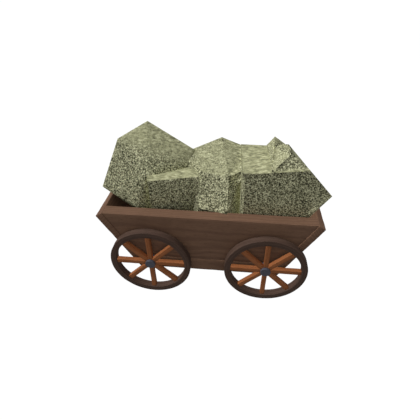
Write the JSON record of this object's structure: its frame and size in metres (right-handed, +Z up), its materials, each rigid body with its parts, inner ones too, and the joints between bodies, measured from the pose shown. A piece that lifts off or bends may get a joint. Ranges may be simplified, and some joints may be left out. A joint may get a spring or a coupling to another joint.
{
  "type": "mine cart",
  "caption": "Wooden hopper mine cart with sloped end boards on spoked wheels that turn on iron axles, loaded with lumps of ore.",
  "frame": {"origin": "on the ground under the middle of the cart", "axes": "+X along the cart, +Y across it towards the far wheels, +Z up"},
  "size_m": [1.22, 0.702, 0.9358],
  "materials": {
    "tub_wood": "oiled, worn dark hardwood",
    "rim_wood": "dark stained bent hardwood",
    "spoke_wood": "orange-brown oiled hardwood",
    "dowel_wood": "plain turned hardwood",
    "iron": "dull blue-grey iron",
    "fastener_steel": "dull dark steel",
    "bush_bronze": "turned bronze",
    "ore": "coarse speckled olive-grey broken ore"
  },
  "bodies": {
    "cart": {"left_end_board": "tub_wood", "right_end_board": "tub_wood", "near_side_panel": "tub_wood", "far_side_panel": "tub_wood", "near_sill": "tub_wood", "far_sill": "tub_wood", "left_bearer": "tub_wood", "right_bearer": "tub_wood", "floor_board_1": "tub_wood", "floor_board_2": "tub_wood", "floor_board_3": "tub_wood", "floor_board_4": "tub_wood", "floor_board_5": "tub_wood", "left_axle": "iron", "right_axle": "iron", "axle_plates": "iron", "axle_plate_screws": "fastener_steel", "left_coach_screws": "fastener_steel", "right_coach_screws": "fastener_steel", "floor_nails": "fastener_steel", "near_dowels": "dowel_wood", "far_dowels": "dowel_wood", "near_left_collar": "iron", "near_left_cap": "iron", "near_right_collar": "iron", "near_right_cap": "iron", "far_left_collar": "iron", "far_left_cap": "iron", "far_right_collar": "iron", "far_right_cap": "iron"},
    "near_left_wheel": {"near_left_rim": "rim_wood", "near_left_spokes": "spoke_wood", "near_left_hub": "iron", "near_left_bush": "bush_bronze"},
    "near_right_wheel": {"near_right_rim": "rim_wood", "near_right_spokes": "spoke_wood", "near_right_hub": "iron", "near_right_bush": "bush_bronze"},
    "far_left_wheel": {"far_left_rim": "rim_wood", "far_left_spokes": "spoke_wood", "far_left_hub": "iron", "far_left_bush": "bush_bronze"},
    "far_right_wheel": {"far_right_rim": "rim_wood", "far_right_spokes": "spoke_wood", "far_right_hub": "iron", "far_right_bush": "bush_bronze"},
    "ore_load": {"ore_left_lump": "ore", "ore_ledge_block": "ore", "ore_middle_lump": "ore", "ore_right_block": "ore", "ore_peak_lump": "ore", "ore_crest_lump": "ore"}
  },
  "joints": [
    {"name": "near_left_wheel_spin", "type": "hinge", "parent": "cart", "child": "near_left_wheel", "pos_m": [-0.324, -0.3245, 0.229], "axis": [0, 1, 0], "continuous": true},
    {"name": "near_right_wheel_spin", "type": "hinge", "parent": "cart", "child": "near_right_wheel", "pos_m": [0.324, -0.3245, 0.229], "axis": [0, 1, 0], "continuous": true},
    {"name": "far_left_wheel_spin", "type": "hinge", "parent": "cart", "child": "far_left_wheel", "pos_m": [-0.324, 0.3245, 0.229], "axis": [0, 1, 0], "continuous": true},
    {"name": "far_right_wheel_spin", "type": "hinge", "parent": "cart", "child": "far_right_wheel", "pos_m": [0.324, 0.3245, 0.229], "axis": [0, 1, 0], "continuous": true},
    {"name": "ore_lift", "type": "slide", "parent": "cart", "child": "ore_load", "axis": [0, 0, 1], "range_m": [0, 0.5]}
  ]
}
